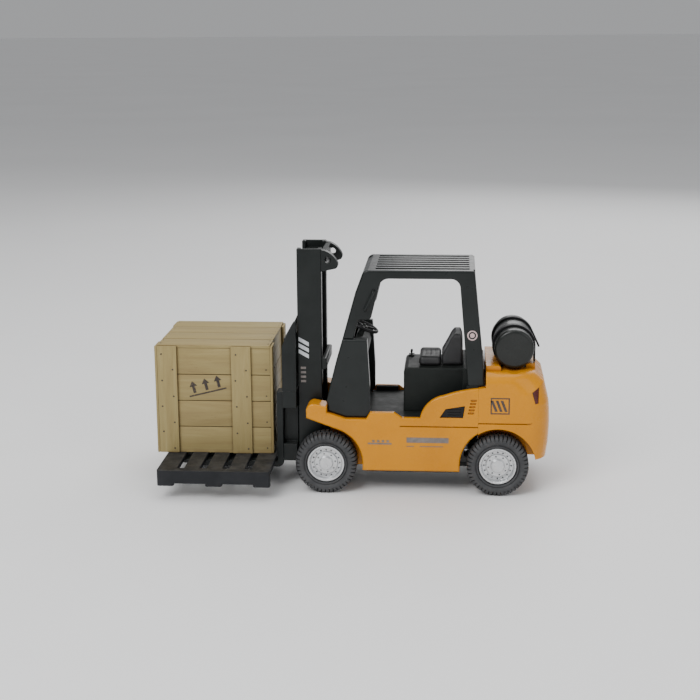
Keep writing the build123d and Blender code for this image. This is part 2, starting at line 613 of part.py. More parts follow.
# ============================================================================================
# Mast
# ============================================================================================
def channel(side, x0, x1, outer, depth, web, flange, z0, z1, name):
    """Upright C channel that opens inward."""
    with BuildPart() as part:
        box_at((x0, x1), sorted((side * (outer - depth), side * outer)), (z0, z1))
        box_at((x0 + flange, x1 - flange), sorted((side * (outer - depth - 1), side * (outer - web))),
               (z0 - 1, z1 + 1), Mode.SUBTRACT)
        fillet(part.edges().filter_by(Axis.Z).filter_by(lambda e: abs(e.center().Y) > outer - 0.01), 0.5)
    save(part.part, name)


INNER_X0, INNER_X1 = MAST_X0 + FLANGE + INNER_GAP, MAST_X1 - FLANGE - INNER_GAP
INNER_OUTER_Y = MAST_OUTER_Y - WEB - INNER_GAP
INNER_FLANGE = 1.6
CHANNEL_DEPTH = 5.0
INNER_INSIDE_Y = INNER_OUTER_Y - 4.1

for side, side_name in SIDES:
    channel(side, MAST_X0, MAST_X1, MAST_OUTER_Y, CHANNEL_DEPTH, WEB, FLANGE, MAST_BOTTOM_Z, MAST_TOP_Z,
            f"mast_channel_{side_name}")
    channel(side, INNER_X0, INNER_X1, INNER_OUTER_Y, 4.1, 1.6, INNER_FLANGE, INNER_BOTTOM_Z, INNER_TOP_Z,
            f"inner_channel_{side_name}")

with BuildPart() as mast_head:
    for side, _ in SIDES:
        with BuildSketch(slab_plane(side, MAST_OUTER_Y - 4.0, MAST_OUTER_Y)):
            with BuildLine():
                Polyline((6.9, 107.1), (MAST_X0 - 0.02, 105.7), (MAST_X0 - 0.02, 116.0), (11.8, 115.7))
                ThreePointArc((11.8, 115.7), (7.9, 113.2), (5.7, 109.8))
                ThreePointArc((5.7, 109.8), (5.7, 108.2), (6.9, 107.1))
            make_face()
            with Locations((10.4, 111.4)):
                Circle(1.6, mode=Mode.SUBTRACT)
        extrude(amount=4.0)
    box_at((MAST_X0 - 2.4, MAST_X0 - 0.02), (-MAST_OUTER_Y + 3.0, MAST_OUTER_Y - 3.0), (108.0, 115.6))
save(mast_head.part, "mast_head")

with BuildPart() as mast_tie:
    box_at((MAST_X0 - 2.2, MAST_X0 - 0.02), (-MAST_OUTER_Y, MAST_OUTER_Y), (58.0, 63.5))
    fillet(mast_tie.edges().filter_by(Axis.Y).filter_by(lambda e: e.center().X < MAST_X0 - 1), 0.8)
save(mast_tie.part, "mast_tie")

with BuildPart() as mast_foot:
    box_at((MAST_X0, MAST_X1 + 0.4), (-MAST_OUTER_Y, MAST_OUTER_Y),
           (MAST_BOTTOM_Z - 2.0, MAST_BOTTOM_Z - 0.02))
    fillet(mast_foot.edges().filter_by(Axis.Z), 1.0)
save(mast_foot.part, "mast_foot")

with BuildPart() as lift_cylinder:
    with Locations((CYLINDER_X, 0, MAST_BOTTOM_Z)):
        Cylinder(CYLINDER_R, 93.0, align=(Align.CENTER, Align.CENTER, Align.MIN))
    with Locations((CYLINDER_X, 0, 94.5)):
        Cylinder(CYLINDER_R + 0.5, 5.0, align=(Align.CENTER, Align.CENTER, Align.MIN))
    with Locations((CYLINDER_X, 0, 22.0)):
        Cylinder(ROD_R + ROD_GAP, 100.0, align=(Align.CENTER, Align.CENTER, Align.MIN), mode=Mode.SUBTRACT)
save(lift_cylinder.part, "lift_cylinder")

with BuildPart() as lift_rod:
    with Locations((CYLINDER_X, 0, 30.0)):
        Cylinder(ROD_R, 107.9 - 30.0, align=(Align.CENTER, Align.CENTER, Align.MIN))
save(lift_rod.part, "lift_rod")

with BuildPart() as inner_head:
    box_at((INNER_X0, INNER_X1), (-INNER_INSIDE_Y + 0.02, INNER_INSIDE_Y - 0.02), (108.0, INNER_TOP_Z))
    for y in (-4.6, 4.6):
        with Locations(Location((span(INNER_X0, INNER_X1) + 1.0, y, 108.0), (90, 0, 0))):
            Cylinder(2.6, 1.6)
save(inner_head.part, "inner_head")

with BuildPart() as inner_tie:
    box_at((INNER_X1 - INNER_FLANGE, INNER_X1), (-INNER_INSIDE_Y + 0.02, INNER_INSIDE_Y - 0.02),
           (INNER_BOTTOM_Z, INNER_BOTTOM_Z + 3.4))
save(inner_tie.part, "inner_tie")

# ============================================================================================
# Carriage, backrest, forks
# ============================================================================================
ARM_Y0, ARM_Y1 = 5.4, INNER_INSIDE_Y - 0.4
GUIDE_X0, GUIDE_X1 = INNER_X0 + INNER_FLANGE + 0.25, INNER_X1 - INNER_FLANGE - 0.25
GUIDE_Y1 = INNER_OUTER_Y - 1.6 - 0.25

with BuildPart() as carriage:
    for z0, half in ((PLATE_BOTTOM_Z, LOWER_BAR_HALF), (PLATE_TOP_Z - BAR_HEIGHT, PLATE_HALF)):
        box_at((PLATE_X0, PLATE_X1), (-half, half), (z0, z0 + BAR_HEIGHT))
    for side, _ in SIDES:
        box_at((PLATE_X0, PLATE_X1), sorted((side * ARM_Y0, side * 12.5)), (PLATE_BOTTOM_Z, PLATE_TOP_Z))
        box_at((GUIDE_X0, PLATE_X1), sorted((side * ARM_Y0, side * ARM_Y1)), (18.6, 45.0))
        for z in (20.0, 38.0):
            box_at((GUIDE_X0, GUIDE_X1), sorted((side * ARM_Y0, side * GUIDE_Y1)), (z, z + 5.0))
    fillet(carriage.edges().filter_by(lambda e: e.center().X > PLATE_X1 - 0.1 and e.length > 20)
           .filter_by(Axis.Y), 0.8)
save(carriage.part, "carriage")

with BuildPart() as load_backrest:
    for side, _ in SIDES:
        with BuildSketch(slab_plane(side, PLATE_HALF - 2.4, PLATE_HALF)):
            with BuildLine():
                Polyline((PLATE_X0, PLATE_TOP_Z + 0.02), (PLATE_X0, BACKREST_TOP_Z),
                         (PLATE_X0 + 1.0, BACKREST_TOP_Z), (29.4, 77.0), (PLATE_X1, 69.8),
                         (PLATE_X1, PLATE_TOP_Z + 0.02), close=True)
            make_face()
        extrude(amount=2.4)
    for y in (-11.4, -3.8, 3.8, 11.4):
        box_at((29.2, 31.2), (y - 1.1, y + 1.1), (PLATE_TOP_Z + 0.02, 73.6))
    box_at((28.6, 31.6), (-PLATE_HALF + 2.0, PLATE_HALF - 2.0), (70.6, 73.6))
save(load_backrest.part, "load_backrest")

for side, side_name in SIDES:
    with BuildPart() as fork:
        with BuildSketch(slab_plane(side, FORK_Y0, FORK_Y1)):
            with BuildLine():
                Polyline((FORK_X0, 47.0), (FORK_X0, FORK_BOTTOM_Z + 2.6))
                ThreePointArc((FORK_X0, FORK_BOTTOM_Z + 2.6), (FORK_X0 + 0.8, FORK_BOTTOM_Z + 0.8),
                              (FORK_X0 + 2.6, FORK_BOTTOM_Z))
                Polyline((FORK_X0 + 2.6, FORK_BOTTOM_Z), (FORK_TIP_X - 14, FORK_BOTTOM_Z),
                         (FORK_TIP_X, FORK_TOP_Z - 1.2), (FORK_TIP_X, FORK_TOP_Z),
                         (FORK_X0 + FORK_THICK, FORK_TOP_Z), (FORK_X0 + FORK_THICK, 47.0), (FORK_X0, 47.0))
            make_face()
        extrude(amount=FORK_Y1 - FORK_Y0)
        tip_edges = fork.edges().filter_by(lambda e: e.center().X > FORK_TIP_X - 0.1).filter_by(Axis.Z)
        fillet(tip_edges, 2.4)
    save(fork.part, f"fork_{side_name}")

# ============================================================================================
# Pallet and crate
# ============================================================================================
STRINGER_HALF = 5.0
BAND_THICK = 3.4
SLOT_COUNT = 4
FOOT_LENGTH = 8.0

with BuildPart() as pallet:
    box_at((PALLET_X0, PALLET_X1), (-PALLET_HALF, PALLET_HALF), (DECK_BOTTOM_Z, DECK_TOP_Z))
    slot_pitch = (PALLET_X1 - PALLET_X0) / (SLOT_COUNT + 1)
    for i in range(SLOT_COUNT):
        slot_x = PALLET_X0 + slot_pitch * (i + 1)
        box_at((slot_x - SLOT_WIDTH / 2, slot_x + SLOT_WIDTH / 2), (-PALLET_HALF + 4.6, PALLET_HALF - 4.6),
               (DECK_BOTTOM_Z - 1, DECK_TOP_Z + 1), Mode.SUBTRACT)
    for y0, y1 in ((-PALLET_HALF, -PALLET_HALF + BAND_THICK), (-STRINGER_HALF, STRINGER_HALF),
                   (PALLET_HALF - BAND_THICK, PALLET_HALF)):
        box_at((PALLET_X0, PALLET_X1), (y0, y1), (BAND_BOTTOM_Z, DECK_BOTTOM_Z + 0.1))
        for x0 in (PALLET_X0, span(PALLET_X0, PALLET_X1) - FOOT_LENGTH / 2, PALLET_X1 - FOOT_LENGTH):
            box_at((x0, x0 + FOOT_LENGTH), (y0, y1), (PALLET_BOTTOM_Z, BAND_BOTTOM_Z + 0.1))
    fillet(pallet.edges().filter_by(Axis.Z).filter_by(
        lambda e: abs(e.center().Y) > PALLET_HALF - 0.01), 1.2)
save(pallet.part, "pallet")

CRATE_PANEL_X0, CRATE_PANEL_X1 = CRATE_X0 + BATTEN_THICK, CRATE_X1 - BATTEN_THICK
CRATE_PANEL_Y0, CRATE_PANEL_Y1 = CRATE_Y0 + BATTEN_THICK, CRATE_Y1 - BATTEN_THICK
FLOOR_THICK = 1.4
PANEL_Z0 = CRATE_BASE_Z + FLOOR_THICK + 0.02
PLANK_STEP = (CRATE_TOP_Z - CRATE_BASE_Z) / CRATE_PLANKS
LID_STEP = (CRATE_PANEL_Y1 - CRATE_PANEL_Y0) / CRATE_PLANKS
SEAM = 0.5

with BuildPart() as crate_base:
    box_at((CRATE_PANEL_X0, CRATE_PANEL_X1), (CRATE_PANEL_Y0, CRATE_PANEL_Y1),
           (CRATE_BASE_Z, CRATE_BASE_Z + FLOOR_THICK))
save(crate_base.part, "crate_base")

with BuildPart() as crate_box:
    box_at((CRATE_PANEL_X0, CRATE_PANEL_X1), (CRATE_PANEL_Y0, CRATE_PANEL_Y1), (PANEL_Z0, CRATE_TOP_Z))
    # seams between the side planks and between the lid planks
    for i in range(1, CRATE_PLANKS):
        seam_z = CRATE_BASE_Z + PLANK_STEP * i
        with BuildSketch(Plane.XY.offset(seam_z - SEAM / 2)) as seam:
            with Locations((span(CRATE_X0, CRATE_X1), span(CRATE_Y0, CRATE_Y1))):
                Rectangle(CRATE_LENGTH, CRATE_Y1 - CRATE_Y0)
                Rectangle(CRATE_PANEL_X1 - CRATE_PANEL_X0 - 2 * SEAM,
                          CRATE_PANEL_Y1 - CRATE_PANEL_Y0 - 2 * SEAM, mode=Mode.SUBTRACT)
        extrude(amount=SEAM, mode=Mode.SUBTRACT)
        seam_y = CRATE_PANEL_Y0 + LID_STEP * i
        box_at((CRATE_X0, CRATE_X1), (seam_y - SEAM / 2, seam_y + SEAM / 2),
               (CRATE_TOP_Z - SEAM, CRATE_TOP_Z), Mode.SUBTRACT)
    # upright battens on all four sides
    for x0 in (CRATE_PANEL_X0 + REAR_BATTEN_INSET, CRATE_PANEL_X1 - BATTEN_WIDTH):
        for y0 in (CRATE_Y0, CRATE_PANEL_Y1):
            box_at((x0, x0 + BATTEN_WIDTH), (y0, y0 + BATTEN_THICK), (PANEL_Z0, CRATE_TOP_Z - 0.6))
    for x0, lap in ((CRATE_X0, 0.0), (CRATE_PANEL_X1, BATTEN_THICK)):
        for y in ((CRATE_PANEL_Y0 - lap, CRATE_PANEL_Y0 + BATTEN_WIDTH),
                  (CRATE_PANEL_Y1 - BATTEN_WIDTH, CRATE_PANEL_Y1 + lap)):
            box_at((x0, x0 + BATTEN_THICK), y, (PANEL_Z0, CRATE_TOP_Z - 0.6))
    box_at((CRATE_PANEL_X0 + CRATE_WALL, CRATE_PANEL_X1 - CRATE_WALL),
           (CRATE_PANEL_Y0 + CRATE_WALL, CRATE_PANEL_Y1 - CRATE_WALL),
           (PANEL_Z0 - 1, CRATE_TOP_Z - CRATE_WALL), Mode.SUBTRACT)
save(crate_box.part, "crate_box")
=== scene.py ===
"""Toy forklift truck with a raised fork, a slotted pallet and a plank crate: looks, camera and light.

Metres, in the row frame: +X forward, +Y to the truck's left, +Z up. Sizes given in millimetres carry * MM.
"""
import json
import math
import random

import bmesh
import bpy
from mathutils import Matrix, Vector


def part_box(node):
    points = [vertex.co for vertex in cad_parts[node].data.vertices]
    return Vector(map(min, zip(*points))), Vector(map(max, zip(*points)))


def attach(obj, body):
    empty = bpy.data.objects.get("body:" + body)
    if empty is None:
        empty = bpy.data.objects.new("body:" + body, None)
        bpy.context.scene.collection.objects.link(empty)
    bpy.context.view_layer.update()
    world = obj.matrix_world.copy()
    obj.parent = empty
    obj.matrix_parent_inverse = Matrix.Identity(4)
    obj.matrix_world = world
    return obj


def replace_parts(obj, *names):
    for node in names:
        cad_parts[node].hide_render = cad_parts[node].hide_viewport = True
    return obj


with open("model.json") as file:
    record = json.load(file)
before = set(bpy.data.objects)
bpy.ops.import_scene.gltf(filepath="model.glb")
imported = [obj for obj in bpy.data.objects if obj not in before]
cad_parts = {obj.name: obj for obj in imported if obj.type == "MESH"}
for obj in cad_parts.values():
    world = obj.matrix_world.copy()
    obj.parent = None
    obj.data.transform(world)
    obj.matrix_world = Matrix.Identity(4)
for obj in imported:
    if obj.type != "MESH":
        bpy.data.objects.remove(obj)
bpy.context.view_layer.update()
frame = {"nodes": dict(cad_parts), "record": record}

MM = 0.001
NODES = frame["nodes"]
SCENE = bpy.context.scene
SHARP_ANGLE = math.radians(38)


# ---- camera: beside the truck, a little ahead of square and above ----------------------------
CAMERA_AT = Vector((-50.2, 666.7, 221.6)) * MM
CAMERA_YAW = math.radians(4.41)
CAMERA_PITCH = math.radians(13.25)
CAMERA_ROLL = math.radians(-0.37)
LENS_MM, SENSOR_MM = 72.0, 36.0
CLIP_NEAR, CLIP_FAR = 0.01, 20.0


def make_camera():
    """Camera at the photograph's viewing angle."""
    data = bpy.data.cameras.new("camera")
    data.lens = LENS_MM
    data.sensor_width = SENSOR_MM
    data.clip_start = CLIP_NEAR
    data.clip_end = CLIP_FAR
    cam = bpy.data.objects.new("camera", data)
    SCENE.collection.objects.link(cam)
    ahead = Vector((math.sin(CAMERA_YAW) * math.cos(CAMERA_PITCH),
                    -math.cos(CAMERA_YAW) * math.cos(CAMERA_PITCH), -math.sin(CAMERA_PITCH)))
    level = ahead.cross(Vector((0, 0, 1))).normalized()
    upright = level.cross(ahead)
    right = level * math.cos(CAMERA_ROLL) + upright * math.sin(CAMERA_ROLL)
    up = upright * math.cos(CAMERA_ROLL) - level * math.sin(CAMERA_ROLL)
    turn = Matrix((right, up, -ahead)).transposed()
    cam.matrix_world = Matrix.Translation(CAMERA_AT) @ turn.to_4x4()
    SCENE.camera = cam


make_camera()


# ---- shader building ------------------------------------------------------------------------
class Shader:
    """One procedural material, built node by node. Coordinates are the row frame's metres."""

    def __init__(self, name):
        self.mat = bpy.data.materials.new(name)
        self.mat.use_nodes = True
        self.tree = self.mat.node_tree
        self.tree.nodes.clear()
        output = self.add("ShaderNodeOutputMaterial")
        self.bsdf = self.add("ShaderNodeBsdfPrincipled")
        self.tree.links.new(self.bsdf.outputs["BSDF"], output.inputs["Surface"])
        self.place = self.add("ShaderNodeTexCoord").outputs["Object"]

    def add(self, kind, **props):
        node = self.tree.nodes.new(kind)
        for key, value in props.items():
            setattr(node, key, value)
        return node

    def feed(self, socket, value):
        """Link a node's output to the socket, or set a plain value on it."""
        if isinstance(value, bpy.types.NodeSocket):
            self.tree.links.new(value, socket)
        elif isinstance(value, tuple) and len(value) == 3 and socket.type == "RGBA":
            socket.default_value = (*value, 1.0)
        else:
            socket.default_value = value

    def set(self, **inputs):
        """Principled inputs; an underscore in a key stands for a space."""
        for key, value in inputs.items():
            self.feed(self.bsdf.inputs[key.replace("_", " ")], value)

    def stretch(self, scale, vector=None):
        """Coordinates scaled by a different amount along each axis."""
        node = self.add("ShaderNodeMapping")
        self.feed(node.inputs["Vector"], vector or self.place)
        node.inputs["Scale"].default_value = scale
        return node.outputs["Vector"]

    def noise(self, scale, detail=3.0, rough=0.55, vector=None, bend=0.0):
        node = self.add("ShaderNodeTexNoise")
        self.feed(node.inputs["Vector"], vector or self.place)
        node.inputs["Scale"].default_value = scale
        node.inputs["Detail"].default_value = detail
        node.inputs["Roughness"].default_value = rough
        node.inputs["Distortion"].default_value = bend
        return node.outputs["Fac"]

    def cells(self, scale, feature="F1", vector=None):
        node = self.add("ShaderNodeTexVoronoi", feature=feature)
        self.feed(node.inputs["Vector"], vector or self.place)
        node.inputs["Scale"].default_value = scale
        return node.outputs["Distance"]

    def span(self, value, low, high, to_low=0.0, to_high=1.0):
        """Value mapped from low..high to to_low..to_high, held at both ends."""
        node = self.add("ShaderNodeMapRange")
        self.feed(node.inputs["Value"], value)
        for key, number in (("From Min", low), ("From Max", high), ("To Min", to_low), ("To Max", to_high)):
            node.inputs[key].default_value = number
        return node.outputs["Result"]

    def calc(self, operation, a, b):
        node = self.add("ShaderNodeMath", operation=operation)
        self.feed(node.inputs[0], a)
        self.feed(node.inputs[1], b)
        return node.outputs[0]

    def blend(self, fac, a, b):
        """Colour a where fac is 0 and b where it is 1."""
        node = self.add("ShaderNodeMix", data_type="RGBA", blend_type="MIX")
        self.feed(node.inputs[0], fac)
        self.feed(node.inputs[6], a)
        self.feed(node.inputs[7], b)
        return node.outputs[2]

    def tones(self, fac, *stops):
        """Colour ramp from (position, colour) stops."""
        node = self.add("ShaderNodeValToRGB")
        self.feed(node.inputs["Fac"], fac)
        ramp = node.color_ramp
        while len(ramp.elements) < len(stops):
            ramp.elements.new(0.5)
        for element, (position, colour) in zip(ramp.elements, stops):
            element.position = position
            element.color = (*colour, 1.0)
        return node.outputs["Color"]

    def corner_shade(self, distance, low=0.35, high=0.95):
        """Painted shade from ambient occlusion: 0 in the open, 1 deep in a corner."""
        node = self.add("ShaderNodeAmbientOcclusion", samples=8)
        node.inputs["Distance"].default_value = distance
        return self.span(node.outputs["AO"], low, high, 1.0, 0.0)

    def facing_up(self):
        """0 on walls and below, 1 on a level top."""
        split = self.add("ShaderNodeSeparateXYZ")
        self.feed(split.inputs[0], self.add("ShaderNodeNewGeometry").outputs["Normal"])
        return self.span(split.outputs["Z"], 0.55, 1.0)

    def edges(self, radius):
        """Rounded normal, and a mask that is 1 on a sharp outer edge."""
        bevel = self.add("ShaderNodeBevel", samples=6)
        bevel.inputs["Radius"].default_value = radius
        normal = self.add("ShaderNodeNewGeometry").outputs["Normal"]
        dot = self.add("ShaderNodeVectorMath", operation="DOT_PRODUCT")
        self.feed(dot.inputs[0], bevel.outputs["Normal"])
        self.feed(dot.inputs[1], normal)
        return bevel.outputs["Normal"], self.span(dot.outputs["Value"], 0.995, 0.80)

    def bump(self, height, depth, strength=1.0, normal=None):
        node = self.add("ShaderNodeBump")
        node.inputs["Strength"].default_value = strength
        node.inputs["Distance"].default_value = depth
        self.feed(node.inputs["Height"], height)
        if normal is not None:
            self.feed(node.inputs["Normal"], normal)
        return node.outputs["Normal"]


def amber_paint():
    """Glossy lacquer on die-cast metal: slight orange peel, painted shade darkening the crevices."""
    s = Shader("amber_paint")
    tone = s.tones(s.noise(48.0, 3.0), (0.32, (0.57, 0.215, 0.0)), (0.68, (0.64, 0.25, 0.0)))
    # painted shade: ambient occlusion darkens the paint in crevices and corners
    tone = s.blend(s.calc("MULTIPLY", s.corner_shade(2.2 * MM), 0.75), tone, (0.26, 0.06, 0.0))
    rounded, edge = s.edges(0.35 * MM)
    chips = s.calc("MULTIPLY", edge, s.span(s.noise(420.0, 4.0, 0.7), 0.54, 0.70))
    tone = s.blend(s.calc("MULTIPLY", chips, 0.5), tone, (0.75, 0.38, 0.03))
    specks = s.span(s.noise(2600.0, 2.0), 0.70, 0.78)
    tone = s.blend(s.calc("MULTIPLY", specks, 0.25), tone, (0.40, 0.13, 0.0))
    s.set(Base_Color=tone, Roughness=s.span(s.noise(160.0, 5.0, 0.65), 0.3, 0.7, 0.20, 0.34),
          Coat_Weight=0.12, Coat_Roughness=0.06, Specular_IOR_Level=0.24)
    peel = s.bump(s.noise(620.0, 2.0), 0.05 * MM, 0.55, rounded)
    s.set(Normal=s.bump(s.noise(90.0, 2.0), 0.35 * MM, 0.35, peel))
    return s.mat


def moulded(name, dark, light, rough, grain, grain_depth, dust, coat=0.0):
    """Dark moulded plastic: fine texture, dust on upward faces, rubbed edges; grain_depth in millimetres."""
    s = Shader(name)
    tone = s.tones(s.noise(70.0, 4.0, 0.6), (0.3, dark), (0.7, light))
    rounded, edge = s.edges(0.3 * MM)
    rub = s.calc("MULTIPLY", edge, s.span(s.noise(260.0, 4.0, 0.7), 0.40, 0.62))
    tone = s.blend(s.calc("MULTIPLY", rub, 0.55), tone, tuple(c * 3.2 + 0.012 for c in light))
    settled = s.calc("MULTIPLY", s.facing_up(), s.span(s.noise(240.0, 6.0, 0.7), 0.42, 0.75))
    tone = s.blend(s.calc("MULTIPLY", settled, dust), tone, (0.12, 0.115, 0.105))
    low, high = rough
    gloss = s.span(s.noise(190.0, 5.0, 0.65), 0.3, 0.7, low, high)
    s.set(Base_Color=tone, Roughness=gloss, Coat_Weight=coat, Coat_Roughness=0.18, Specular_IOR_Level=0.18)
    s.set(Normal=s.bump(s.noise(grain, 3.0, 0.6), grain_depth * MM, 0.6, rounded))
    return s.mat


def grained_seat():
    """Black plastic moulded with a leather grain."""
    s = Shader("seat_grain")
    pebble = s.cells(1500.0, "DISTANCE_TO_EDGE")
    tone = s.tones(s.noise(110.0, 4.0), (0.3, (0.010, 0.010, 0.011)), (0.7, (0.020, 0.020, 0.021)))
    # painted light: upward faces of the seat are lightened, as if lit from above
    tone = s.blend(s.calc("MULTIPLY", s.facing_up(), 0.25), tone, (0.045, 0.044, 0.042))
    s.set(Base_Color=tone, Roughness=s.span(s.noise(300.0, 4.0), 0.3, 0.7, 0.40, 0.56),
          Specular_IOR_Level=0.5)
    fold = s.bump(s.noise(230.0, 3.0), 0.12 * MM, 0.4)
    s.set(Normal=s.bump(s.span(pebble, 0.0, 0.12), 0.035 * MM, 0.7, fold))
    return s.mat


def tyre_rubber():
    """Soft grey-black vinyl, paler and dustier on the side wall."""
    s = Shader("tyre_vinyl")
    tone = s.tones(s.noise(120.0, 5.0, 0.65), (0.3, (0.026, 0.027, 0.029)), (0.7, (0.046, 0.047, 0.050)))
    dusty = s.span(s.noise(330.0, 6.0, 0.75), 0.45, 0.72)
    tone = s.blend(s.calc("MULTIPLY", dusty, 0.35), tone, (0.105, 0.105, 0.105))
    # painted shade: ambient occlusion darkens the rubber in the tread grooves and corners
    tone = s.blend(s.calc("MULTIPLY", s.corner_shade(1.2 * MM), 0.7), tone, (0.008, 0.008, 0.009))
    s.set(Base_Color=tone, Roughness=s.span(s.noise(400.0, 4.0), 0.3, 0.7, 0.52, 0.72),
          Specular_IOR_Level=0.45)
    pores = s.bump(s.noise(2400.0, 3.0, 0.6), 0.03 * MM, 0.7)
    s.set(Normal=s.bump(s.noise(260.0, 2.0), 0.08 * MM, 0.4, pores))
    return s.mat


def silver_rim():
    """Silver lacquer with metal flake; painted shade in the dimples and painted highlights on the edges."""
    s = Shader("rim_silver")
    flake = s.cells(5200.0)
    tone = s.tones(s.noise(150.0, 3.0), (0.3, (0.56, 0.57, 0.58)), (0.7, (0.68, 0.69, 0.70)))
    tone = s.blend(s.span(flake, 0.15, 0.6, 0.25, 0.0), tone, (0.86, 0.87, 0.88))
    # painted shade: ambient occlusion darkens the dimples
    tone = s.blend(s.calc("MULTIPLY", s.corner_shade(0.9 * MM, 0.30, 0.85), 0.85), tone, (0.10, 0.10, 0.105))
    rounded, edge = s.edges(0.18 * MM)
    # painted highlight: every sharp edge is lightened towards near white
    s.set(Base_Color=s.blend(s.calc("MULTIPLY", edge, 0.5), tone, (0.88, 0.89, 0.90)), Metallic=0.75,
          Roughness=s.span(s.noise(500.0, 4.0), 0.3, 0.7, 0.24, 0.40))
    s.set(Normal=s.bump(s.noise(1700.0, 2.0), 0.02 * MM, 0.6, rounded))
    return s.mat


def bare_metal(name, colour, low, high, lay):
    """Drawn or turned metal: fine lines along one axis."""
    s = Shader(name)
    lines = s.noise(900.0, 4.0, 0.7, s.stretch(lay))
    bright = tuple(min(1.0, c * 1.12) for c in colour)
    tone = s.tones(lines, (0.3, tuple(c * 0.82 for c in colour)), (0.7, bright))
    # painted shade: ambient occlusion darkens the metal in corners and recesses
    tone = s.blend(s.calc("MULTIPLY", s.corner_shade(0.8 * MM), 0.6), tone, (0.12, 0.11, 0.10))
    s.set(Base_Color=tone, Metallic=1.0, Roughness=s.span(lines, 0.3, 0.7, low, high))
    s.set(Normal=s.bump(lines, 0.01 * MM, 0.5))
    return s.mat


def red_lens():
    """Dark red lamp plastic with moulded ribs."""
    s = Shader("lamp_red")
    ribs = s.add("ShaderNodeTexWave", wave_type="BANDS", bands_direction="Z", wave_profile="SIN")
    s.feed(ribs.inputs["Vector"], s.place)
    ribs.inputs["Scale"].default_value = 330.0
    ribs.inputs["Distortion"].default_value = 0.0
    tone = s.tones(s.noise(500.0, 3.0), (0.3, (0.045, 0.003, 0.002)), (0.7, (0.075, 0.005, 0.003)))
    tone = s.blend(s.span(ribs.outputs["Fac"], 0.2, 0.9, 0.0, 0.4), tone, (0.13, 0.010, 0.006))
    s.set(Base_Color=tone, Roughness=s.span(s.noise(700.0), 0.3, 0.7, 0.12, 0.22), Coat_Weight=0.2,
          Coat_Roughness=0.05, Specular_IOR_Level=0.3)
    s.set(Normal=s.bump(ribs.outputs["Fac"], 0.10 * MM, 0.7))
    return s.mat


def plank_wood():
    """Wood-coloured plastic boards: grain along each board, knots, a tone of its own for every board."""
    s = Shader("plank_wood")
    board = s.add("ShaderNodeAttribute", attribute_name="grain").outputs["Vector"]
    long_grain = s.stretch((26.0, 330.0, 330.0), board)
    lines = s.noise(1.0, 6.0, 0.62, long_grain, 0.6)
    broad = s.noise(1.0, 3.0, 0.5, s.stretch((14.0, 90.0, 90.0), board), 1.2)
    pores = s.noise(1.0, 3.0, 0.7, s.stretch((240.0, 2600.0, 2600.0), board))
    knots = s.cells(1.0, "F1", s.stretch((42.0, 95.0, 95.0), board))
    island = s.add("ShaderNodeNewGeometry").outputs["Random Per Island"]
    tone = s.tones(lines, (0.28, (0.245, 0.175, 0.075)),
                   (0.52, (0.315, 0.245, 0.100)), (0.74, (0.385, 0.31, 0.14)))
    tone = s.blend(s.span(broad, 0.35, 0.7, 0.0, 0.5), tone, (0.355, 0.285, 0.128))
    tone = s.blend(s.span(island, 0.0, 1.0, 0.0, 0.42), tone, (0.275, 0.20, 0.088))
    tone = s.blend(s.span(pores, 0.60, 0.74, 0.0, 0.5), tone, (0.19, 0.13, 0.055))
    tone = s.blend(s.span(knots, 0.10, 0.0, 0.0, 0.75), tone, (0.15, 0.09, 0.035))
    # painted shade: ambient occlusion darkens the boards in the joints and corners between them
    tone = s.blend(s.calc("MULTIPLY", s.corner_shade(1.4 * MM), 0.75), tone, (0.10, 0.06, 0.025))
    s.set(Base_Color=tone, Roughness=s.span(lines, 0.3, 0.7, 0.62, 0.48), Specular_IOR_Level=0.25)
    sawn = s.bump(lines, 0.10 * MM, 0.6)
    s.set(Normal=s.bump(s.span(knots, 0.16, 0.0), 0.12 * MM, 0.4, sawn))
    return s.mat


def ink(name, dark, light, wear, worn):
    """Printed mark whose ink is rubbed thin in places."""
    s = Shader(name)
    tone = s.tones(s.noise(500.0, 4.0), (0.3, dark), (0.7, light))
    rubbed = s.span(s.noise(1300.0, 5.0, 0.75), 0.56, 0.70, 0.0, wear)
    s.set(Base_Color=s.blend(rubbed, tone, worn), Roughness=s.span(s.noise(900.0), 0.3, 0.7, 0.35, 0.55))
    s.set(Normal=s.bump(s.noise(1800.0, 3.0), 0.01 * MM, 0.5))
    return s.mat


PAINT = amber_paint()
GUARD = moulded("guard_black", (0.0065, 0.0085, 0.0080), (0.012, 0.015, 0.0145), (0.26, 0.40), 2600.0, 0.018,
                dust=0.15, coat=0.25)
MAST = moulded("mast_black", (0.007, 0.009, 0.0085), (0.013, 0.0155, 0.015), (0.30, 0.44), 2200.0, 0.022,
               dust=0.2, coat=0.15)
CAB = moulded("cab_black", (0.008, 0.010, 0.0092), (0.015, 0.018, 0.0165), (0.40, 0.56), 1900.0, 0.03,
              dust=0.12)
TRIM = moulded("trim_black", (0.009, 0.009, 0.010), (0.018, 0.018, 0.019), (0.36, 0.52), 2100.0, 0.025,
               dust=0.3)
PALLET = moulded("pallet_black", (0.012, 0.013, 0.015), (0.024, 0.025, 0.028), (0.40, 0.58), 1500.0, 0.04,
                 dust=0.45)
TANK = moulded("tank_grey", (0.010, 0.0115, 0.0105), (0.019, 0.021, 0.0195), (0.24, 0.36), 1800.0, 0.02,
               dust=0.15, coat=0.3)
SEAT = grained_seat()
TYRE = tyre_rubber()
RIM = silver_rim()
STEEL = bare_metal("plain_steel", (0.56, 0.56, 0.57), 0.28, 0.45, (1.0, 0.05, 1.0))
CHROME = bare_metal("plated_rod", (0.78, 0.79, 0.80), 0.08, 0.18, (1.0, 1.0, 0.05))
LENS = red_lens()
WOOD = plank_wood()
NAIL = bare_metal("nail_dark", (0.10, 0.085, 0.075), 0.45, 0.65, (1.0, 1.0, 1.0))
